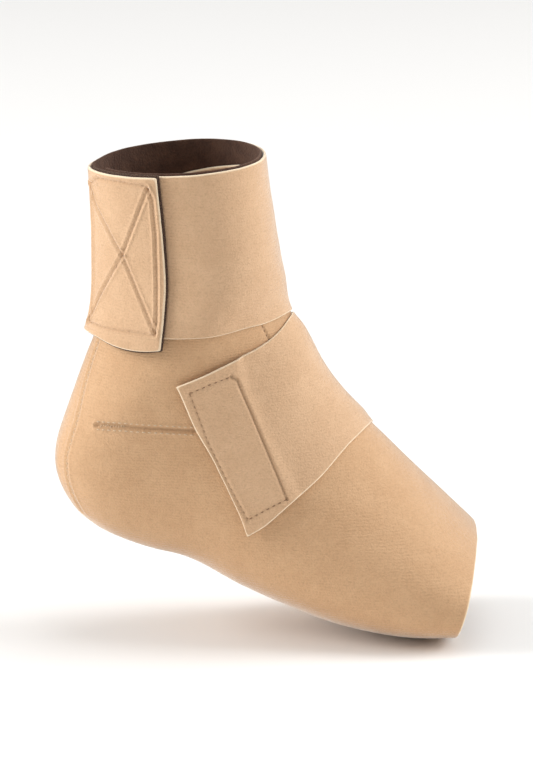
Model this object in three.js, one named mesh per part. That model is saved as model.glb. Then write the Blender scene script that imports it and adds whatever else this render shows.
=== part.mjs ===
// An ankle-foot compression wrap for a right foot, in the shape that it keeps on the foot with the
// heel raised. A foot piece with a closed heel is open at the toes and at the leg. A broad strap
// crosses the instep, and an ankle strap goes once round the leg and laps over its own start. Each
// strap closes with a patch of hook tape.
//
// Millimetres. The origin is the centre of the ankle joint. +Z runs up the leg, +X towards the toes
// and +Y towards the other foot, so that the outer side, with both closures, faces -Y.
import * as THREE from "three";

// Overall sizes of the foot form, which is the outer face of the foot piece.
const WRAP_LENGTH = 182; // back of the heel to the top of the toe opening
const WRAP_HEIGHT = 209; // sole under the ball of the foot to the front of the leg opening
const BALL_WIDTH = 94; // side to side at the ball of the foot
const ANKLE_WIDTH = 69; // side to side at the ankle

// Walls, and the clearance that every two layers keep.
const FOOT_WALL = 2;
const FOOT_TOP_DROP = 8; // from the front of the leg opening down to the foot piece's end
const STRAP_WALL = 1.5;
const LINING_WALL = 1;
const HOOK_WALL = 1;
const LAYER_GAP = 0.35;

// Closures.
const LINING_SHOWS = 0.8; // how far the dark lining stands out above the ankle strap
const ANKLE_HOOK_LENGTH = 38;
const ANKLE_HOOK_SHOWS = 0.8; // how far the hook tape stands out past the tab's end and lower edge
const LAP_RISE_LENGTH = 12; // the stretch of ankle strap that climbs onto its own start
const LAP_CLEAR = 7; // from the top of that climb to the strap's start
const INSTEP_HOOK_LENGTH = 22;
const INSTEP_HOOK_END = 3.5; // from the instep strap's end to its hook tape
const INSTEP_HOOK_MARGIN = 4; // from the instep strap's long edges to its hook tape
const INSTEP_RISE_LENGTH = 3; // the stretch of instep strap that climbs onto its hook tape
const EDGE_ROW = 1.4; // from an edge to the row of faces that holds its shape

// Sections of the foot form, from the toe opening round the heel to the leg opening. Each lies in a
// plane through its dorsal point, its rear point (on the sole, the heel or the tendon) and the
// side-to-side direction. X is a share of WRAP_LENGTH and Z of WRAP_HEIGHT. The width is foot times
// BALL_WIDTH plus leg times ANKLE_WIDTH. widest is where the section is widest, as a share from the
// rear point. egg narrows the rear end, dome and sole square off the dorsal and rear halves, and
// ridge moves the dorsal point inwards, as a share of half the width.
const SECTIONS = table(
  ["dorsalX", "dorsalZ", "rearX", "rearZ", "foot", "leg", "widest", "egg", "dome", "sole", "ridge"],
  {
    toeOpening: [0.708, -0.336, 0.648, -0.52, 0.97, 0, 0.42, 0, 2.2, 2.7, 0.3],
    ball: [0.608, -0.246, 0.524, -0.523, 1, 0, 0.38, 0, 2.1, 2.7, 0.3],
    forefoot: [0.516, -0.16, 0.376, -0.502, 0.93, 0, 0.36, 0, 2, 2.6, 0.28],
    midfoot: [0.444, -0.094, 0.235, -0.46, 0.86, 0, 0.36, 0, 2, 2.5, 0.25],
    arch: [0.381, -0.036, 0.116, -0.413, 0.5, 0.4, 0.38, 0, 2, 2.4, 0.2],
    instep: [0.329, 0.033, 0.019, -0.368, 0.25, 0.7, 0.42, 0, 2, 2.3, 0.14],
    heelPad: [0.294, 0.101, -0.1, -0.343, 0.1, 0.86, 0.46, 0.02, 2, 2.4, 0.08],
    underHeel: [0.257, 0.153, -0.236, -0.284, 0, 0.98, 0.5, 0.04, 2, 2.5, 0.04],
    backOfHeel: [0.237, 0.198, -0.3, -0.173, 0, 1, 0.54, 0.07, 2, 2.4, 0],
    topOfHeel: [0.229, 0.239, -0.266, -0.053, 0, 1, 0.57, 0.13, 2, 2.2, 0],
    tendon: [0.219, 0.28, -0.225, 0.05, 0, 1, 0.58, 0.18, 2, 2, 0],
    lowAnkle: [0.207, 0.344, -0.182, 0.16, 0, 0.95, 0.56, 0.17, 2, 2, 0],
    highAnkle: [0.195, 0.414, -0.178, 0.309, 0, 0.9, 0.54, 0.14, 2, 2, 0],
    legOpening: [0.187, 0.478, -0.187, 0.46, 0, 0.88, 0.52, 0.1, 2, 2, 0],
  },
);
const LAST_STATION = SECTIONS.length - 1;

// Lines across the straps, from one end of each strap to the other. A station counts sections of the
// foot form. A girth is in degrees round a section: 0 is the inner side, 90 the instep or shin, 180
// the outer side and 270 the sole, heel or tendon. bow swings a line's middle round by so many degrees.
const STRAP_COLUMNS = ["topStation", "topGirth", "lowStation", "lowGirth", "bow"];
const ANKLE_STRAP = table(STRAP_COLUMNS, {
  start: [13, 244, 10.7, 244, 0],
  outerRear: [13, 213, 10.3, 213, 0],
  outerSide: [13, 180, 9.3, 180, 0],
  outerFront: [13, 145, 8.3, 145, 0],
  shin: [13, 112, 7.25, 112, 0],
  shinInner: [13, 78, 6.9, 78, 0],
  innerFront: [13, 40, 8.1, 40, 0],
  innerSide: [13, 5, 9.2, 5, 0],
  innerRear: [13, -35, 10.15, -35, 0],
  tendon: [13, -75, 10.5, -75, 0],
  lapStart: [13, -120, 10.4, -120, 0],
  end: [13, -165.5, 9.35, -168.5, 1.5],
});
const INSTEP_STRAP = table(STRAP_COLUMNS, {
  end: [8.06, 180, 4.38, 194.5, -8],
  outerLow: [7.52, 150, 3.95, 166, 0],
  outerSide: [7.15, 134, 3.62, 147, 0],
  outerTop: [6.92, 118, 3.35, 126, 0],
  top: [6.85, 98, 2.98, 102, 0],
  innerTop: [6.65, 70, 2.75, 72, 0],
  innerSide: [6.5, 35, 2.75, 38, 0],
  innerLow: [6.2, 0, 2.85, 4, 0],
  root: [5.8, -38, 3, -35, 0],
});

// Colours of the cloth.
const COLOURS = { beige: 0xd2ae88, darkBrown: 0x4a3226 };

// Rows of a table as objects, each value under its column's name.
function table(columns, rows) {
  return Object.values(rows).map((row) => Object.fromEntries(row.map((value, i) => [columns[i], value])));
}

// The value of a table's column at a place between its rows, on a smooth curve through the rows.
function smoothColumn(rows, column, place) {
  const last = rows.length - 1;
  const from = THREE.MathUtils.clamp(Math.floor(place), 0, last - 1);
  const share = place - from;
  const at = (row) => rows[THREE.MathUtils.clamp(row, 0, last)][column];
  const beyondStart = from === 0 ? 2 * at(0) - at(1) : at(from - 1);
  const beyondEnd = from === last - 1 ? 2 * at(last) - at(last - 1) : at(from + 2);
  const slopeFrom = (at(from + 1) - beyondStart) / 2;
  const slopeTo = (beyondEnd - at(from)) / 2;
  const ease = share * share * (3 - 2 * share);
  const leave = share * (1 - share) ** 2;
  const arrive = share * share * (share - 1);
  return THREE.MathUtils.lerp(at(from), at(from + 1), ease) + leave * slopeFrom + arrive * slopeTo;
}

// A point on the foot form, at a station counted in sections and a girth in degrees.
function formPoint(station, girth) {
  const value = (column) => smoothColumn(SECTIONS, column, station);
  const dorsal = new THREE.Vector3(value("dorsalX") * WRAP_LENGTH, 0, value("dorsalZ") * WRAP_HEIGHT);
  const rear = new THREE.Vector3(value("rearX") * WRAP_LENGTH, 0, value("rearZ") * WRAP_HEIGHT);
  const halfWidth = (value("foot") * BALL_WIDTH + value("leg") * ANKLE_WIDTH) / 2;
  const cosine = Math.cos(THREE.MathUtils.degToRad(girth));
  const sine = Math.sin(THREE.MathUtils.degToRad(girth));
  const squareness = value(sine > 0 ? "dome" : "sole");
  const reach = (Math.abs(cosine) ** squareness + Math.abs(sine) ** squareness) ** (-1 / squareness);
  const rise = reach * sine;
  const widest = value("widest");
  const point = rear.lerp(dorsal, widest + rise * (rise > 0 ? 1 - widest : widest));
  const ridge = rise > 0 ? value("ridge") * rise ** 2 : 0;
  point.y = halfWidth * (reach * cosine * (1 + value("egg") * rise) + ridge);
  return point;
}

// A point that stands off the foot form by a lift, square to it.
function liftedPoint(station, girth, lift) {
  const step = 0.02;
  const from = Math.min(station, LAST_STATION - step);
  const up = formPoint(from + step, girth).sub(formPoint(from, girth));
  const round = formPoint(station, girth + 1).sub(formPoint(station, girth - 1));
  return formPoint(station, girth).add(up.cross(round).normalize().multiplyScalar(lift));
}

// Shares from 0 to 1 in equal steps, with one more beside each end to hold the edge's shape.
function edgedShares(steps, edgeShare) {
  const shares = Array.from({ length: steps - 1 }, (_, i) => (i + 1) / steps);
  return [0, edgeShare, ...shares, 1 - edgeShare, 1];
}

function spread(from, to, shares) {
  return shares.map((share) => THREE.MathUtils.lerp(from, to, share));
}

// A mesh whose faces point out of the body that they close.
function closedMesh(name, colour, points, triangles) {
  const corner = (i) => points[triangles[i]];
  let volume = 0;
  for (let i = 0; i < triangles.length; i += 3) {
    volume += corner(i).dot(corner(i + 1).clone().cross(corner(i + 2)));
  }
  if (volume < 0) triangles.reverse();
  const positions = points.flatMap((point) => point.toArray());
  const geometry = new THREE.BufferGeometry();
  geometry.setAttribute("position", new THREE.Float32BufferAttribute(positions, 3));
  geometry.setIndex(triangles);
  geometry.computeVertexNormals();
  const material = new THREE.MeshStandardMaterial({ color: COLOURS[colour], roughness: 0.9, metalness: 0 });
  const mesh = new THREE.Mesh(geometry, material);
  mesh.name = name;
  return mesh;
}

// A closed wall between an inner and an outer grid of points, where place(row, column, outer) gives
// each point. A ring joins its last column to its first.
function wallMesh(name, colour, { rows, columns, ring }, place) {
  const points = [];
  for (const outer of [false, true]) {
    for (let row = 0; row < rows; row++) {
      for (let column = 0; column < columns; column++) points.push(place(row, column, outer));
    }
  }
  const index = ([row, column], outer) => (outer ? rows * columns : 0) + row * columns + (column % columns);
  const triangles = [];
  const quad = (a, b, c, d) => triangles.push(a, b, c, a, c, d);
  const lastColumn = ring ? columns : columns - 1;
  for (let row = 0; row < rows - 1; row++) {
    for (let column = 0; column < lastColumn; column++) {
      const corners = [[row, column], [row, column + 1], [row + 1, column + 1], [row + 1, column]];
      quad(...corners.map((corner) => index(corner, true)));
      quad(...corners.map((corner) => index(corner, false)).reverse());
    }
  }
  const rim = (line) => {
    for (let i = 0; i < line.length - 1; i++) {
      const [from, to] = [line[i], line[i + 1]];
      quad(index(from, false), index(to, false), index(to, true), index(from, true));
    }
  };
  const rowLine = (row) => Array.from({ length: lastColumn + 1 }, (_, column) => [row, column]);
  const columnLine = (column) => Array.from({ length: rows }, (_, row) => [row, column]);
  rim(rowLine(0));
  rim(rowLine(rows - 1).reverse());
  if (!ring) {
    rim(columnLine(lastColumn));
    rim(columnLine(0).reverse());
  }
  return closedMesh(name, colour, points, triangles);
}

// A strap's layout: along runs from 0 at its first line to 1 at its last, in even lengths of its
// middle, and across from 0 at its lower edge to 1 at its top edge. A strap goes on past its last
// line as it ends there. length measures between two such places, and alongAfter finds how far along
// a strap has gone round by so many degrees.
function strapLayout(lines) {
  const lastLine = lines.length - 1;
  const onLine = (line, across) => {
    const value = (column) => smoothColumn(lines, column, line);
    const station = THREE.MathUtils.lerp(value("lowStation"), value("topStation"), across);
    const girth = THREE.MathUtils.lerp(value("lowGirth"), value("topGirth"), across);
    return [station, girth + value("bow") * 4 * across * (1 - across)];
  };
  const middle = new THREE.Curve();
  middle.getPoint = (share) => formPoint(...onLine(share * lastLine, 0.5));
  const endPace = (1 - middle.getUtoTmapping(0.98)) / 0.02;
  const place = (along, across) => {
    const beyond = Math.max(along - 1, 0) * endPace;
    return onLine((middle.getUtoTmapping(Math.min(along, 1)) + beyond) * lastLine, across);
  };
  const length = (from, to) => {
    const path = new THREE.Curve();
    const between = (share) => from.map((value, i) => THREE.MathUtils.lerp(value, to[i], share));
    path.getPoint = (share) => formPoint(...place(...between(share)));
    return path.getLength();
  };
  const alongAfter = (turn) => {
    let [low, high] = [0, 1];
    for (let halving = 0; halving < 24; halving++) {
      const along = (low + high) / 2;
      if (place(0, 0.5)[1] - place(along, 0.5)[1] < turn) low = along;
      else high = along;
    }
    return low;
  };
  return { place, length, alongAfter };
}

// A wall that follows a strap's layout, at a height above the foot form that may change along the strap.
function strapMesh(name, colour, layout, { alongs, acrosses, height, wall }) {
  const size = { rows: acrosses.length, columns: alongs.length, ring: false };
  return wallMesh(name, colour, size, (row, column, outer) => {
    const [station, girth] = layout.place(alongs[column], acrosses[row]);
    return liftedPoint(station, girth, height(alongs[column]) + (outer ? wall : 0));
  });
}

// The foot piece ends inside the ankle strap, below the leg opening.
function makeFootPiece() {
  const { dorsalZ: lastZ } = SECTIONS[LAST_STATION];
  const stationHeight = (lastZ - SECTIONS[LAST_STATION - 1].dorsalZ) * WRAP_HEIGHT;
  const topStation = LAST_STATION - FOOT_TOP_DROP / stationHeight;
  const stations = spread(0, topStation, edgedShares(28, EDGE_ROW / WRAP_HEIGHT));
  const size = { rows: stations.length, columns: 42, ring: true };
  return wallMesh("foot_piece", "beige", size, (row, column, outer) =>
    liftedPoint(stations[row], (360 * column) / size.columns, outer ? 0 : -FOOT_WALL),
  );
}

// The ankle strap, its lining and its hook tape share one layout, and all climb where the strap laps
// over itself.
function makeAnkleStrap() {
  const layout = strapLayout(ANKLE_STRAP);
  const length = layout.length([0, 0.5], [1, 0.5]);
  const breadth = layout.length([1, 0], [1, 1]);
  const layer = LINING_WALL + STRAP_WALL + 2 * LAYER_GAP;
  const climbTo = layout.alongAfter(360) - LAP_CLEAR / length;
  const climbFrom = climbTo - LAP_RISE_LENGTH / length;
  const climb = (along) => layer * THREE.MathUtils.smoothstep(along, climbFrom, climbTo);
  const innerHeight = (along) => LAYER_GAP + climb(along);
  const strapHeight = (along) => innerHeight(along) + LINING_WALL + LAYER_GAP;
  const hookAt = 1 - ANKLE_HOOK_LENGTH / length;
  const edge = EDGE_ROW / breadth;
  const top = 1 + LINING_SHOWS / breadth;
  return [
    strapMesh("ankle_strap", "beige", layout, {
      alongs: edgedShares(56, EDGE_ROW / length),
      acrosses: edgedShares(7, edge),
      height: strapHeight,
      wall: STRAP_WALL,
    }),
    strapMesh("ankle_strap_lining", "darkBrown", layout, {
      alongs: spread(0, hookAt - LAYER_GAP / length, edgedShares(48, EDGE_ROW / length)),
      acrosses: spread(0, top, edgedShares(7, edge)),
      height: innerHeight,
      wall: LINING_WALL,
    }),
    strapMesh("ankle_hook_tape", "darkBrown", layout, {
      alongs: spread(hookAt, 1 + ANKLE_HOOK_SHOWS / length, edgedShares(8, EDGE_ROW / ANKLE_HOOK_LENGTH)),
      acrosses: spread(-ANKLE_HOOK_SHOWS / breadth, top, edgedShares(7, edge)),
      height: innerHeight,
      wall: HOOK_WALL,
    }),
  ];
}

// The instep strap bulges over the hook tape under its end.
function makeInstepStrap() {
  const layout = strapLayout(INSTEP_STRAP);
  const length = layout.length([0, 0.5], [1, 0.5]);
  const breadth = layout.length([0, 0], [0, 1]);
  const hookFrom = INSTEP_HOOK_END / length;
  const hookTo = hookFrom + INSTEP_HOOK_LENGTH / length;
  const landing = hookTo + INSTEP_RISE_LENGTH / length;
  const overTape = HOOK_WALL + LAYER_GAP;
  const climb = (along) => overTape * (1 - THREE.MathUtils.smoothstep(along, hookTo, landing));
  const side = INSTEP_HOOK_MARGIN / breadth;
  const edge = EDGE_ROW / breadth;
  const overHook = spread(0, hookTo, edgedShares(5, EDGE_ROW / (hookTo * length)));
  const beyondHook = spread(landing, 1, edgedShares(26, EDGE_ROW / length));
  return [
    strapMesh("instep_strap", "beige", layout, {
      alongs: [...overHook, ...beyondHook],
      acrosses: edgedShares(8, edge),
      height: (along) => LAYER_GAP + climb(along),
      wall: STRAP_WALL,
    }),
    strapMesh("instep_hook_tape", "beige", layout, {
      alongs: spread(hookFrom, hookTo, edgedShares(4, EDGE_ROW / INSTEP_HOOK_LENGTH)),
      acrosses: spread(side, 1 - side, edgedShares(8, edge)),
      height: () => LAYER_GAP,
      wall: HOOK_WALL,
    }),
  ];
}

const wrap = new THREE.Group();
wrap.add(makeFootPiece(), ...makeAnkleStrap(), ...makeInstepStrap());

export default wrap;
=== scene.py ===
from math import cos, exp, pi, radians, sin

import bpy
from mathutils import Matrix, Vector, noise
from mathutils.bvhtree import BVHTree
from mathutils.kdtree import KDTree


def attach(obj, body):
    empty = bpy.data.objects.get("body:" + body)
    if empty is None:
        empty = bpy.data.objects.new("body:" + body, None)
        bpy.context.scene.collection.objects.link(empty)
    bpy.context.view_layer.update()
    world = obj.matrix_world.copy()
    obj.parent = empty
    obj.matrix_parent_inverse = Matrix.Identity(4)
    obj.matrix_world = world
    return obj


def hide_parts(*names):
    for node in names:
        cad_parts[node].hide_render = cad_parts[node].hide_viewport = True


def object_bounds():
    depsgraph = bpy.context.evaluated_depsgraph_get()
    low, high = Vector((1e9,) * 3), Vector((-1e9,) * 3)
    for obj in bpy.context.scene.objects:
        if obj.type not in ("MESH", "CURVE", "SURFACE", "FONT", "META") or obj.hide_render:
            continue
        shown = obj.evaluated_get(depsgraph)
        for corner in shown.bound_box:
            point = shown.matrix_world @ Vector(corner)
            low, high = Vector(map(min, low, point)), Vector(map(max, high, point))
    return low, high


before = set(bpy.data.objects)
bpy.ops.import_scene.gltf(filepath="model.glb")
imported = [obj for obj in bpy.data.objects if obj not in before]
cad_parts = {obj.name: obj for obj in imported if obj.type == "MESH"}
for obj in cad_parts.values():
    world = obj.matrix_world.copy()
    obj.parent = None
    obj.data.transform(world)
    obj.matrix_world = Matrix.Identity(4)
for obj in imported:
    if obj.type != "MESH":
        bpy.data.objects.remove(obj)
cad_low, cad_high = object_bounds()


# Foot piece: a sleeve of brushed loop knit that covers the foot from the base of the toes round the
# heel to the ankle. It is cut flat and sewn up the back of the heel, and a short dart on each side
# takes the heel in. Its two openings are raw cut edges.
FOOT_TAN = (0.61, 0.383, 0.216, 1)
FOOT_SHADE = (0.54, 0.325, 0.175, 1)
# Cut edges are cream: partly the cut knit's own colour and partly painted highlight, where the rounded edge
# catches light.
CUT_CREAM_AND_HIGHLIGHT = (0.86, 0.70, 0.50, 1)

# Places on the outer side are measured in a look that goes down by as many degrees as the photograph's.
PHOTO_ELEVATION = 15

# How far out of the cloth a look back at it starts: for a line's own points, and for places beside it.
FAR_OUT = 0.02
NEAR_OUT = 0.004

# Noise without a seed starts anew in each run, and the cloth would then lie otherwise each time.
noise.seed_set(1)


def select_only(*pieces):
    bpy.ops.object.select_all(action="DESELECT")
    for piece in pieces:
        piece.select_set(True)
    bpy.context.view_layer.objects.active = pieces[0]


def cloth_wall(node, name, rounds):
    """A node's wall as smooth cloth. cut_edge is 1 on its cut edges and fades over the cloth beside them."""
    wall = bpy.data.objects.new(name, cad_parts[node].data.copy())
    bpy.context.scene.collection.objects.link(wall)
    wall.data.materials.clear()
    select_only(wall)
    bpy.ops.object.mode_set(mode="EDIT")
    bpy.ops.mesh.customdata_custom_splitnormals_clear()
    bpy.ops.mesh.select_all(action="SELECT")
    bpy.ops.mesh.remove_doubles(threshold=0.00002)
    bpy.ops.mesh.tris_convert_to_quads(face_threshold=radians(60), shape_threshold=radians(100))
    bpy.ops.mesh.select_all(action="DESELECT")
    bpy.ops.mesh.edges_select_sharp(sharpness=radians(50))
    bpy.ops.object.mode_set(mode="OBJECT")
    cut_edge = wall.data.attributes.new("cut_edge", "FLOAT", "POINT")
    for corner in wall.data.vertices:
        cut_edge.data[corner.index].value = float(corner.select)
    smooth = wall.modifiers.new("smooth", "SUBSURF")
    smooth.levels = smooth.render_levels = rounds
    bpy.ops.object.modifier_apply(modifier="smooth")
    bpy.ops.object.shade_smooth()
    return wall


def ease(wall, amount=0.0004, wave=0.032, fine_share=0.35, fine_wave=0.3):
    """Lets worn cloth lie a little unevenly. Layers that touch move together, by their place alone."""
    elsewhere = Vector((7, 3, 1))
    for corner in wall.data.vertices:
        broad = noise.noise_vector(corner.co / wave)
        fine = noise.noise_vector(corner.co / (wave * fine_wave) + elsewhere)
        corner.co += amount * broad + amount * fine_share * fine


def outer_face(wall):
    faces = [face.vertices[:] for face in wall.data.polygons]
    return BVHTree.FromPolygons([corner.co for corner in wall.data.vertices], faces)


def touch(face, across, up, azimuth=0, elevation=PHOTO_ELEVATION):
    """Where a look along one direction meets the cloth, and which way the cloth faces there."""
    turn, tilt = radians(azimuth), radians(elevation)
    right = Vector((cos(turn), sin(turn), 0))
    ahead = Vector((-sin(turn) * cos(tilt), cos(turn) * cos(tilt), -sin(tilt)))
    start = right * across + right.cross(ahead) * up - ahead
    return face.ray_cast(start, ahead)[:2]


def draw(face, corners, step=0.0004):
    """A line over the cloth through its corners, as points with the way out of the cloth at each."""
    line = []
    for (here, out), (there, out_there) in zip(corners, corners[1:]):
        count = max(2, round((there - here).length / step))
        for i in range(count + 1):
            way = out.lerp(out_there, i / count).normalized()
            line.append(face.ray_cast(here.lerp(there, i / count) + way * FAR_OUT, -way)[:2])
    return line


def along(line):
    tree = KDTree(len(line))
    for i, (point, _) in enumerate(line):
        tree.insert(point, i)
    tree.balance()
    return tree


def refine(wall, line, reach, rounds):
    """Gives the cloth beside a line the small faces that a seam needs."""
    near = along(line)
    for _ in range(rounds):
        select_only(wall)
        bpy.ops.object.mode_set(mode="EDIT")
        bpy.ops.mesh.select_mode(type="FACE")
        bpy.ops.mesh.select_all(action="DESELECT")
        bpy.ops.object.mode_set(mode="OBJECT")
        for face in wall.data.polygons:
            face.select = near.find(face.center)[2] < reach
        bpy.ops.object.mode_set(mode="EDIT")
        bpy.ops.mesh.subdivide(number_cuts=1, smoothness=0)
        bpy.ops.mesh.select_mode(type="VERT")
        bpy.ops.object.mode_set(mode="OBJECT")


def press(wall, line, depth, half, shade, puff=0, puff_at=0.002):
    """Draws a seam into the cloth, with the cloth puffed up beside it, and keeps in a point attribute how
    much painted shade the seam gives the knit's colour.
    """
    same_face, fade = 0.0009, 2.5 * half
    near = along(line)
    painted_seam_shade = wall.data.attributes.get("painted_seam_shade") or wall.data.attributes.new("painted_seam_shade", "FLOAT", "POINT")
    for corner in wall.data.vertices:
        point, i, gap = near.find(corner.co)
        if gap > puff_at + fade:
            continue
        out = line[i][1]
        height = (corner.co - point).dot(out)
        if abs(height) < same_face:
            aside = max(gap**2 - height**2, 0) ** 0.5
            dip = exp(-((aside / half) ** 2))
            swell = puff * exp(-(((aside - puff_at) / half) ** 2))
            kept = painted_seam_shade.data[corner.index]
            kept.value = max(kept.value, shade * dip)
            corner.co += out * (swell - depth * dip)


def sew(name, wall, lines, stitch, gap, thick, slant=0):
    """Rows of thread stitches over the cloth as one piece. A slant turns them one way and then the other."""
    flatness, end_from, end_dip, stand_out = 0.8, 0.35 * stitch, 0.5 * thick, 0.12
    bpy.ops.object.select_all(action="DESELECT")
    bpy.ops.mesh.primitive_uv_sphere_add(segments=8, ring_count=6, radius=thick / 2, location=(0, 0, 0))
    single = bpy.context.object
    bpy.ops.object.mode_set(mode="EDIT")
    bpy.ops.mesh.select_all(action="SELECT")
    bpy.ops.transform.rotate(value=pi / 2, orient_axis="Y", center_override=(0, 0, 0))
    bpy.ops.transform.resize(value=(stitch / thick, 1, flatness), center_override=(0, 0, 0))
    bpy.ops.mesh.select_all(action="DESELECT")
    bpy.ops.object.mode_set(mode="OBJECT")
    for corner in single.data.vertices:
        corner.select = abs(corner.co.x) > end_from
    bpy.ops.object.mode_set(mode="EDIT")
    bpy.ops.transform.translate(value=(0, 0, -end_dip))
    bpy.ops.object.mode_set(mode="OBJECT")
    face, row = outer_face(wall), []
    for line in lines:
        place, side = 0.5 * stitch, 1
        for (here, out), (there, _) in zip(line, line[1:]):
            length = (there - here).length
            while length > 0 and place <= length:
                way = (there - here) / length
                middle = here + way * place
                point, rise = face.ray_cast(middle + out * NEAR_OUT, -out)[:2]
                way = Matrix.Rotation(slant * side, 3, rise) @ way
                across = rise.cross(way).normalized()
                turn = Matrix((across.cross(rise), across, rise)).transposed().to_4x4()
                copy = single.data.copy()
                copy.transform(Matrix.Translation(point + rise * thick * stand_out) @ turn)
                row.append(bpy.data.objects.new(name, copy))
                bpy.context.scene.collection.objects.link(row[-1])
                place, side = place + stitch + gap, -side
            place -= length
    bpy.data.objects.remove(single)
    select_only(*row)
    bpy.ops.object.join()
    bpy.ops.object.shade_smooth()
    row[0].name = name
    return row[0]


# A wave texture of scale 1 has bands of this length.
UNIT_WAVE = 0.314


class Socket:
    """One output of a material's nodes. Arithmetic on it adds the Math nodes that work it out."""

    def __init__(self, tree, output=None):
        self.tree, self.output = tree, output

    def node(self, kind, settings=None, inputs=None, output=0):
        made = self.tree.nodes.new("ShaderNode" + kind)
        for name, value in (settings or {}).items():
            setattr(made, name, value)
        for place, value in (inputs or {}).items():
            if isinstance(value, Socket):
                self.tree.links.new(value.output, made.inputs[place])
            else:
                made.inputs[place].default_value = value
        return Socket(self.tree, made.outputs[output])

    def maths(self, operation, first, second):
        return self.node("Math", {"operation": operation}, {0: first, 1: second})

    def __add__(self, other):
        return self.maths("ADD", self, other)

    def __radd__(self, other):
        return self.maths("ADD", other, self)

    def __rsub__(self, other):
        return self.maths("SUBTRACT", other, self)

    def __mul__(self, other):
        return self.maths("MULTIPLY", self, other)

    def __rmul__(self, other):
        return self.maths("MULTIPLY", other, self)

    def rise(self, low, high):
        """0 below low, 1 above high, and smooth between them."""
        limits = {"Value": self, "From Min": low, "From Max": high}
        return self.node("MapRange", {"interpolation_type": "SMOOTHSTEP"}, limits)

    def blend(self, first, second):
        """The first colour where this is 0 and the second where it is 1."""
        return self.node("Mix", {"data_type": "RGBA"}, {0: self, 6: first, 7: second}, output=2)

    def cloudy(self, size, detail=2.0, output=0):
        """Noise with clouds of that size in metres, at this socket's place."""
        inputs = {"Vector": self, "Scale": 1 / size, "Detail": detail, "Roughness": 0.6}
        return self.node("TexNoise", {}, inputs, output)

    def cells(self, size):
        """How far this socket's place is from the middle of the nearest cell."""
        inputs = {"Vector": self, "Scale": 1 / size, "Randomness": 0.9}
        return self.node("TexVoronoi", {}, inputs)

    def waves(self, direction, length, distortion=0.6):
        """Bands of that length in metres, one after another along a direction."""
        inputs = {"Vector": self, "Scale": UNIT_WAVE / length, "Distortion": distortion}
        return self.node("TexWave", {"bands_direction": direction}, inputs)

    def shift(self, other, amount):
        """This place moved by a noise colour."""
        moved = self.node("VectorMath", {"operation": "SCALE"}, {0: other, "Scale": amount})
        return self.node("VectorMath", {"operation": "ADD"}, {0: self, 1: moved})

    def relief(self, depth, strength):
        return self.node("Bump", {}, {"Height": self, "Distance": depth, "Strength": strength})


def new_finish(name, constants):
    """A material, its places on Object coordinates, and a call that links what varies to its shader."""
    finish = bpy.data.materials.new(name)
    finish.use_nodes = True
    shader = finish.node_tree.nodes["Principled BSDF"]
    for socket, value in constants.items():
        shader.inputs[socket].default_value = value
    place = Socket(finish.node_tree).node("TexCoord", output=3)

    def surface(colour, roughness, normal):
        for socket, part in {"Base Color": colour, "Roughness": roughness, "Normal": normal}.items():
            finish.node_tree.links.new(part.output, shader.inputs[socket])

    return finish, place, surface


def tone(colour, share):
    """A paler or a deeper tone of a colour."""
    return tuple(min(1, share * part) for part in colour[:3]) + (1,)


def brushed_knit(name, tan, shade):
    """Brushed loop knit: a nap of small loops over fine rows, with painted highlight on the raised nap and
    rows and painted shade in the hollows between loops. Its cut edges are cream, the cut knit's colour with
    a painted highlight, and its seams get painted shade.
    """
    finish, place, surface = new_finish(name, {
        "Sheen Weight": 1.0, "Sheen Roughness": 0.3, "Sheen Tint": (1, 0.98, 0.95, 1),
        "Specular IOR Level": 0.4})
    wander = place.cloudy(0.005, output=1)
    rows = place.shift(wander, 0.0016).waves("Z", 0.0013)
    loops = place.shift(wander, 0.001).cells(0.0008)
    nap = place.cloudy(0.0005, 3)
    brushed = place.cloudy(0.0032, 4)
    patchy = place.cloudy(0.016, 3)
    colour = (patchy.rise(0.3, 0.7) * 0.55 + brushed.rise(0.3, 0.7) * 0.45).blend(tan, shade)
    # Painted highlight: the raised nap and rows are paler.
    colour = (nap.rise(0.4, 0.75) * 0.5 + rows * 0.12).blend(colour, tone(tan, 1.1))
    # Painted shade: the hollows between the loops are darker.
    colour = (loops.rise(0.4, 0.9) * 0.3).blend(colour, tone(shade, 0.72))
    # Painted shade: the knit darkens along seams and grooves, as much as press kept for them.
    seam_shading = place.node("Attribute", {"attribute_name": "painted_seam_shade"}, output=2)
    colour = seam_shading.blend(colour, tone(shade, 0.55))
    cut = place.node("Attribute", {"attribute_name": "cut_edge"}, output=2)
    # Painted highlight, partly the cut knit's own cream: the cut edges turn paler.
    colour = (cut.rise(0.5, 0.9) * (0.8 + 0.2 * nap)).blend(colour, CUT_CREAM_AND_HIGHLIGHT)
    height = (1 - loops) * 0.5 + nap * 0.5 + brushed * 0.6 + rows * 0.25
    surface(colour, 0.82 + nap * 0.16, height.relief(0.0006, 0.5))
    return finish


def thread(name, colour):
    """Spun sewing thread, with its ply as fine slanting bands."""
    finish, place, surface = new_finish(
        name, {"Sheen Weight": 0.2, "Sheen Roughness": 0.35, "Specular IOR Level": 0.35})
    bands = place.waves("DIAGONAL", 0.00035, 2)
    colour = (bands * 0.5 + place.cloudy(0.002) * 0.5).blend(tone(colour, 0.7), colour)
    surface(colour, 0.55 + bands * 0.2, bands.relief(0.0001, 0.6))
    return finish


foot_cloth = cloth_wall("foot_piece", "foot_cloth", 2)
ease(foot_cloth)
foot_face = outer_face(foot_cloth)

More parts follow.
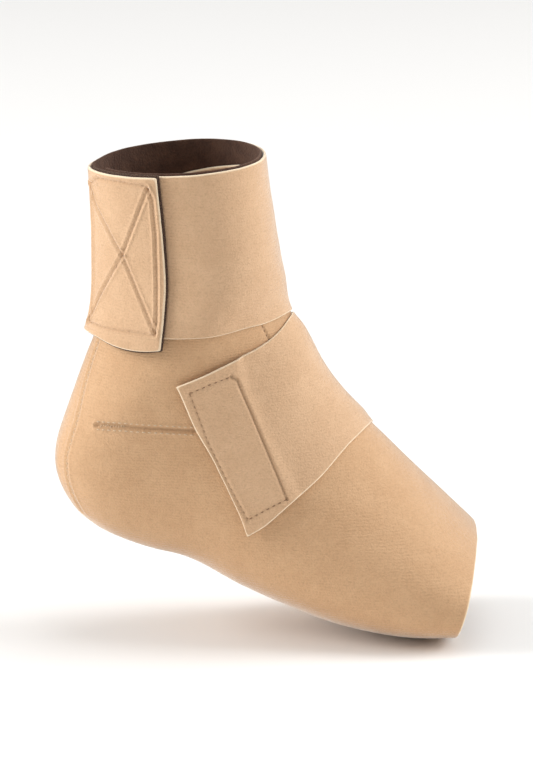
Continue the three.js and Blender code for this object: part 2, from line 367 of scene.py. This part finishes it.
# The dart on the outer side runs forward from beside the heel cord and ends under the instep strap.
# The inner side has its mirror image. Tacks cross the dart over its first points, and pull it in.
TACKED_FROM, TACKED_TO = 4, 34
dart = [touch(foot_face, across, up) for across, up in [
    (-0.0352, -0.0192), (-0.0240, -0.0198), (-0.0089, -0.0207), (0.0022, -0.0214), (0.0066, -0.0216)]]
inner_dart = [touch(foot_face, -point.x, point.z, azimuth=180, elevation=0) for point, _ in dart]
back_seam = [touch(foot_face, across, up) for across, up in [
    (-0.0347, 0.0169), (-0.0374, 0.0089), (-0.0400, 0.0), (-0.0423, -0.0098), (-0.0445, -0.0196)]]
back_seam += [touch(foot_face, across, up, azimuth=315, elevation=0) for across, up in [
    (-0.0222, -0.0290), (-0.0222, -0.0420), (-0.0203, -0.0550)]]
front_seam = [touch(foot_face, across, up) for across, up in [(0.0354, 0.0234), (0.0388, 0.0166)]]
darts = [draw(foot_face, corners) for corners in (dart, inner_dart)]
back_line, front_line = draw(foot_face, back_seam), draw(foot_face, front_seam)
for line in darts + [back_line, front_line]:
    refine(foot_cloth, line, reach=0.006, rounds=2)
for line in darts:
    press(foot_cloth, line, depth=0.0009, half=0.0006, shade=0.35, puff=0.0006, puff_at=0.0019)
    # Painted shade: a broad dark patch under the tacks, where they pull the dart in.
    press(foot_cloth, line[TACKED_FROM:TACKED_TO], depth=0.0001, half=0.0017, shade=0.4)
press(foot_cloth, back_line, depth=0.0003, half=0.0007, shade=0.15, puff=0.0002)
press(foot_cloth, front_line, depth=0.0005, half=0.0006, shade=0.25)
foot_knit = brushed_knit("foot_loop_knit", FOOT_TAN, FOOT_SHADE)
foot_cloth.data.materials.append(foot_knit)
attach(foot_cloth, "root")
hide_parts("foot_piece")

foot_thread = thread("foot_thread", (0.74, 0.55, 0.36, 1))
# Painted shade: these stitches are dark brown to stand in for the shade in the pits they sink into.
pit_shade_thread = thread("pit_shade_thread", (0.3, 0.17, 0.09, 1))


def beside(line, wall, aside):
    """A line drawn again to one side of itself, on the cloth as it lies now."""
    face, moved = outer_face(wall), []
    for (here, out), (there, _) in zip(line, line[1:]):
        if (there - here).length > 0:
            across = out.cross(there - here).normalized()
            moved.append(face.ray_cast(here + across * aside + out * NEAR_OUT, -out)[:2])
    return moved


foot_rows = {
    "heel_dart_rows": (
        [beside(line, foot_cloth, aside) for line in darts for aside in (0.0017, -0.0017)],
        {"stitch": 0.0019, "gap": 0.0007, "thick": 0.0006}),
    "heel_dart_tacks": (
        [line[:TACKED_TO] for line in darts],
        {"stitch": 0.0036, "gap": -0.0024, "thick": 0.00055, "slant": 1.25}),
    "back_seam_zigzag": (
        [back_line],
        {"stitch": 0.0026, "gap": -0.0008, "thick": 0.00045, "slant": 0.75}),
    "front_seam_stitches": (
        [front_line],
        {"stitch": 0.0014, "gap": 0.0009, "thick": 0.0005}),
}
for name, (lines, sizes) in foot_rows.items():
    row = sew(name, foot_cloth, lines, **sizes)
    row.data.materials.append(pit_shade_thread if name == "front_seam_stitches" else foot_thread)
    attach(row, "root")


# Ankle strap: a band of the same knit, faced with a darker lining, that goes once round the leg and
# laps over its own start. Its end is a tab, on which stitches in a box and a cross hold the hook tape.
STRAP_TAN = (0.64, 0.42, 0.255, 1)
STRAP_SHADE = (0.57, 0.36, 0.21, 1)

# How the lower edge of the strap and its lining is drawn in at the front.
ANKLE_HUG = {"share": 0.55, "reach": 0.016, "ahead": 0.010}


def cut_line(wall, belongs):
    """The part of a strap's cut edge whose places belong, to measure from."""
    cut = wall.data.attributes["cut_edge"].data
    edge = [corner.co.copy() for corner, mark in zip(wall.data.vertices, cut)
            if mark.value > 0.9 and belongs(corner.co)]
    return along([(place, None) for place in edge])


def hug(wall, edge, share, reach, ahead):
    """Draws a layer's edge in to the foot piece where it crosses the front."""
    fade = 0.02
    for corner in wall.data.vertices:
        near = max(0, 1 - edge.find(corner.co)[2] / reach)
        front = min(1, max(0, (corner.co.x - ahead) / fade))
        amount = share * near**2 * (3 - 2 * near) * front**2 * (3 - 2 * front)
        if amount > 0:
            ground = foot_face.find_nearest(corner.co)[0]
            corner.co = ground.lerp(corner.co, 1 - amount)


ankle_cloth = cloth_wall("ankle_strap", "ankle_cloth", 3)
ankle_edge = cut_line(ankle_cloth, lambda place: place.z < 0.05 and place.x > 0.005)
hug(ankle_cloth, ankle_edge, **ANKLE_HUG)
ease(ankle_cloth)
ankle_face = outer_face(ankle_cloth)
top_left, low_left = [touch(ankle_face, across, up, azimuth=270, elevation=0) for across, up in [
    (0.010, 0.0895), (0.010, 0.0290)]]


def on_tab(*places):
    return [touch(ankle_face, across, up) for across, up in places]


box = on_tab(
    (-0.0345, 0.0858), (-0.0240, 0.0837), (-0.0135, 0.0817), (-0.0111, 0.0765), (-0.0098, 0.0623),
    (-0.0094, 0.0494), (-0.0094, 0.0251), (-0.0102, 0.0190), (-0.0222, 0.0208), (-0.0337, 0.0231))
cross = [
    on_tab((-0.0131, 0.0805), (-0.0182, 0.0676), (-0.0240, 0.0530), (-0.0289, 0.0449), (-0.0342, 0.0356)),
    on_tab((-0.0101, 0.0198), (-0.0169, 0.0360), (-0.0240, 0.0530), (-0.0303, 0.0645), (-0.0353, 0.0744))]
tab_lines = [draw(ankle_face, [low_left, top_left] + box + [low_left]),
             draw(ankle_face, cross[0] + [low_left]), draw(ankle_face, cross[1] + [top_left])]
for line in tab_lines:
    refine(ankle_cloth, line, reach=0.0022, rounds=1)
for line in tab_lines:
    press(ankle_cloth, line, depth=0.0006, half=0.00045, shade=0.3, puff=0.00035, puff_at=0.0016)
strap_knit = brushed_knit("strap_loop_knit", STRAP_TAN, STRAP_SHADE)
ankle_cloth.data.materials.append(strap_knit)
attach(ankle_cloth, "root")
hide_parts("ankle_strap")

strap_thread = thread("strap_thread", STRAP_TAN)
tab_stitches = sew("tab_stitches", ankle_cloth, tab_lines, stitch=0.0022, gap=0.0006, thick=0.00045)
tab_stitches.data.materials.append(strap_thread)
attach(tab_stitches, "root")


# Lining of the ankle strap: a thin dark brown knit, bonded to the strap's back, that stands out a
# little above the strap at the leg opening.
LINING_BROWN = (0.10, 0.052, 0.034, 1)
LINING_DARK = (0.055, 0.028, 0.02, 1)

ankle_lining = cloth_wall("ankle_strap_lining", "ankle_lining", 3)
hug(ankle_lining, ankle_edge, **ANKLE_HUG)
ease(ankle_lining)
lining_finish, place, surface = new_finish("lining_knit", {
    "Sheen Weight": 0.25, "Sheen Roughness": 0.45, "Sheen Tint": (0.8, 0.6, 0.5, 1),
    "Specular IOR Level": 0.2})
ribs = place.shift(place.cloudy(0.003, output=1), 0.0006).cells(0.0008)
colour = (place.cloudy(0.006, 3).rise(0.3, 0.7) * 0.7 + ribs * 0.3).blend(LINING_BROWN, LINING_DARK)
surface(colour, 0.85 + ribs * 0.1, (1 - ribs).relief(0.0004, 0.6))
ankle_lining.data.materials.append(lining_finish)
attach(ankle_lining, "root")
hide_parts("ankle_strap_lining")


# Hook tape of the ankle strap: stiff woven tape with rows of small hooks on its inner face. It is sewn
# under the tab and stands out past the tab's end and lower edge as a dark line.
TAPE_BROWN = (0.13, 0.075, 0.05, 1)
TAPE_DARK = (0.05, 0.028, 0.02, 1)

# The tape is tucked back under the tab's end, and more so low down.
TUCK = 0.0005
TUCK_FROM, TUCK_REACH = -0.011, 0.004
TUCK_TOP, TUCK_DROP = 0.075, 0.035

ankle_tape = cloth_wall("ankle_hook_tape", "ankle_tape", 3)
for corner in ankle_tape.data.vertices:
    near_end = min(1, max(0, (corner.co.x - TUCK_FROM) / TUCK_REACH))
    lower_down = min(1, max(0, (TUCK_TOP - corner.co.z) / TUCK_DROP))
    corner.co.x -= TUCK * near_end * lower_down
ease(ankle_tape)
tape_finish, place, surface = new_finish("hook_tape_weave", {"Specular IOR Level": 0.3})
hooks = place.cells(0.0006)
colour = (hooks.rise(0.2, 0.7) * 0.8 + place.cloudy(0.004) * 0.2).blend(TAPE_BROWN, TAPE_DARK)
surface(colour, 0.7 + hooks * 0.2, (1 - hooks).relief(0.0006, 0.8))
ankle_tape.data.materials.append(tape_finish)
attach(ankle_tape, "root")
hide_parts("ankle_hook_tape")


# Instep strap: a broad band of the strap knit, sewn along the inner edge of the sole, that is pulled
# over the instep and held by hook tape under its end. The tape shows through as a raised patch.
instep_cloth = cloth_wall("instep_strap", "instep_cloth", 3)


def cut_straight(wall):
    """Slides the cloth along the strap's end over the foot piece, so that its cut looks straight."""
    slide, reach, tilt = 0.0023, 0.022, radians(PHOTO_ELEVATION)
    cut_top, cut_foot = Vector((-0.0018, -0.0029)), Vector((0.0287, -0.0672))
    cut = cut_foot - cut_top
    inward = Vector((-cut.y, cut.x)).normalized()
    way = Vector((inward.x, inward.y * sin(tilt), inward.y * cos(tilt)))
    for corner in wall.data.vertices:
        seen = Vector((corner.co.x, corner.co.z * cos(tilt) + corner.co.y * sin(tilt))) - cut_top
        down, inside = seen.dot(cut) / cut.length_squared, max(seen.dot(inward), 0) / reach
        if corner.co.y < 0 and 0 < down < 1 and inside < 1:
            amount = slide * sin(pi * down**0.5) * (1 - inside) ** 2 * (1 + 2 * inside)
            ground = foot_face.find_nearest(corner.co)[0]
            height = (corner.co - ground).length
            ground = foot_face.find_nearest(corner.co + way * amount)[0]
            corner.co = ground + (corner.co + way * amount - ground).normalized() * height


def relax(wall, line, reach, repeat):
    """Softens the cloth where it climbs onto something, but for its cut edges."""
    near = along(line)
    soft = [near.find(corner.co)[2] < reach and mark.value < 0.1
            for corner, mark in zip(wall.data.vertices, wall.data.attributes["cut_edge"].data)]
    select_only(wall)
    bpy.ops.object.mode_set(mode="EDIT")
    bpy.ops.mesh.select_mode(type="VERT")
    bpy.ops.mesh.select_all(action="DESELECT")
    bpy.ops.object.mode_set(mode="OBJECT")
    for corner, chosen in zip(wall.data.vertices, soft):
        corner.select = chosen
    bpy.ops.object.mode_set(mode="EDIT")
    bpy.ops.mesh.vertices_smooth(factor=0.5, repeat=repeat)
    bpy.ops.object.mode_set(mode="OBJECT")


cut_straight(instep_cloth)
instep_face = outer_face(instep_cloth)
climb = [touch(instep_face, across, up) for across, up in [
    (0.0265, 0.0074), (0.0380, -0.0185), (0.0502, -0.0457)]]
relax(instep_cloth, draw(instep_face, climb), reach=0.006, repeat=90)
front_edge = cut_line(instep_cloth, lambda place: place.x > 0.055 and place.z < 0.034 - 0.55 * place.x)
hug(instep_cloth, front_edge, share=0.45, reach=0.008, ahead=0.055)
top_edge = cut_line(instep_cloth, lambda place: 0.03 < place.x < 0.06 and place.z > 0.005)
hug(instep_cloth, top_edge, share=0.4, reach=0.009, ahead=0.03)
ease(instep_cloth)
instep_face = outer_face(instep_cloth)


def on_instep(*places):
    return draw(instep_face, [touch(instep_face, across, up) for across, up in places])


patch_top = on_instep((0.0045, -0.0057), (0.0133, -0.0020), (0.0222, 0.0014))
patch_step = on_instep(
    (0.0222, 0.0014), (0.0247, 0.0), (0.0312, -0.0151), (0.0383, -0.0320), (0.0460, -0.0507))
patch_foot = on_instep((0.0460, -0.0507), (0.0365, -0.0556), (0.0292, -0.0596))
patch_end = on_instep((0.0292, -0.0596), (0.0214, -0.0452), (0.0124, -0.0267), (0.0045, -0.0057))
for line in (patch_top, patch_foot, patch_end):
    press(instep_cloth, line, depth=0.00035, half=0.0006, shade=0.15, puff=0.00015, puff_at=0.0016)
# Painted shadow: a dark line where the raised patch steps down to the strap.
press(instep_cloth, patch_step, depth=0.0009, half=0.0006, shade=0.45, puff=0.0001, puff_at=0.0016)
instep_cloth.data.materials.append(strap_knit)
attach(instep_cloth, "root")
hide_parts("instep_strap")

patch_rows = sew(
    "instep_patch_stitches", instep_cloth, [patch_top, patch_foot], stitch=0.0017, gap=0.0011, thick=0.0005)
patch_rows.data.materials.append(pit_shade_thread)
end_row = sew(
    "instep_end_stitches", instep_cloth, [patch_end], stitch=0.0017, gap=0.0011, thick=0.00045)
end_row.data.materials.append(thread("end_thread", (0.48, 0.3, 0.17, 1)))

# Two rows of stitches hold the root of the strap, 4 mm and 7 mm inside its edge.
root_rows = []
for inset in (0.0, 0.003):
    corners = [touch(instep_face, -x, z + inset, azimuth=180, elevation=0) for x, z in [
        (0.0475, -0.0795), (0.0359, -0.0739), (0.0238, -0.0655), (0.0128, -0.0575), (0.0030, -0.0530)]]
    root_rows.append(draw(instep_face, corners))
for line in root_rows:
    press(instep_cloth, line, depth=0.0003, half=0.0006, shade=0.25, puff=0.0001, puff_at=0.0016)
root_stitches = sew(
    "instep_root_stitches", instep_cloth, root_rows, stitch=0.0022, gap=0.0008, thick=0.00045)
root_stitches.data.materials.append(strap_thread)
for row in (patch_rows, end_row, root_stitches):
    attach(row, "root")


# Hook tape of the instep strap: the same kind of tape in beige, sewn under the strap's end.
instep_tape = cloth_wall("instep_hook_tape", "instep_tape", 2)
cut_straight(instep_tape)
ease(instep_tape)
instep_tape.data.materials.append(foot_knit)
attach(instep_tape, "root")
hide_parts("instep_hook_tape")


# Floor, light and camera: a plain pale floor under the wrap's lowest point, large soft lights from the
# left, from the right and from above, and a camera that looks across and down from the outer side.
FLOOR_GAP = 0.0005
CAMERA_DISTANCE = 3.2
SENSOR_WIDTH = 36
SHARE_OF_FRAME = 0.8

bpy.ops.object.select_all(action="DESELECT")
bpy.ops.mesh.primitive_plane_add(size=8, location=(0, 0, cad_low.z - FLOOR_GAP))
floor = bpy.context.object
floor.name = "floor"
floor_finish, _, _ = new_finish("pale_floor", {"Base Color": (0.86, 0.855, 0.845, 1), "Roughness": 0.7})
floor.data.materials.append(floor_finish)

world = bpy.data.worlds.new("studio")
world.use_nodes = True
world.node_tree.nodes["Background"].inputs["Color"].default_value = (1, 0.99, 0.975, 1)
world.node_tree.nodes["Background"].inputs["Strength"].default_value = 0.49
bpy.context.scene.world = world
bpy.context.scene.view_settings.view_transform = "Standard"

centre = (cad_low + cad_high) / 2
for name, way, size, power in [
    ("key_light", (-1.9, -0.1, 0.8), 1.2, 42),
    ("fill_light", (1.9, 0.15, 0.9), 1.3, 34),
    ("top_light", (0.3, 0.3, 2.0), 1.4, 15),
]:
    light = bpy.data.objects.new(name, bpy.data.lights.new(name, "AREA"))
    light.data.size, light.data.energy = size, power
    light.location = centre + Vector(way)
    light.rotation_euler = (-Vector(way)).to_track_quat("-Z", "Y").to_euler()
    bpy.context.scene.collection.objects.link(light)

camera = bpy.data.objects.new("camera", bpy.data.cameras.new("camera"))
bpy.context.scene.collection.objects.link(camera)
tilt = radians(PHOTO_ELEVATION)
back = Vector((0, -cos(tilt), sin(tilt)))
camera.location = centre + back * CAMERA_DISTANCE
camera.rotation_euler = (-back).to_track_quat("-Z", "Y").to_euler()
camera.data.sensor_fit = "HORIZONTAL"
camera.data.sensor_width = SENSOR_WIDTH
camera.data.lens = SENSOR_WIDTH * CAMERA_DISTANCE * SHARE_OF_FRAME / (cad_high.x - cad_low.x)
bpy.context.scene.camera = camera
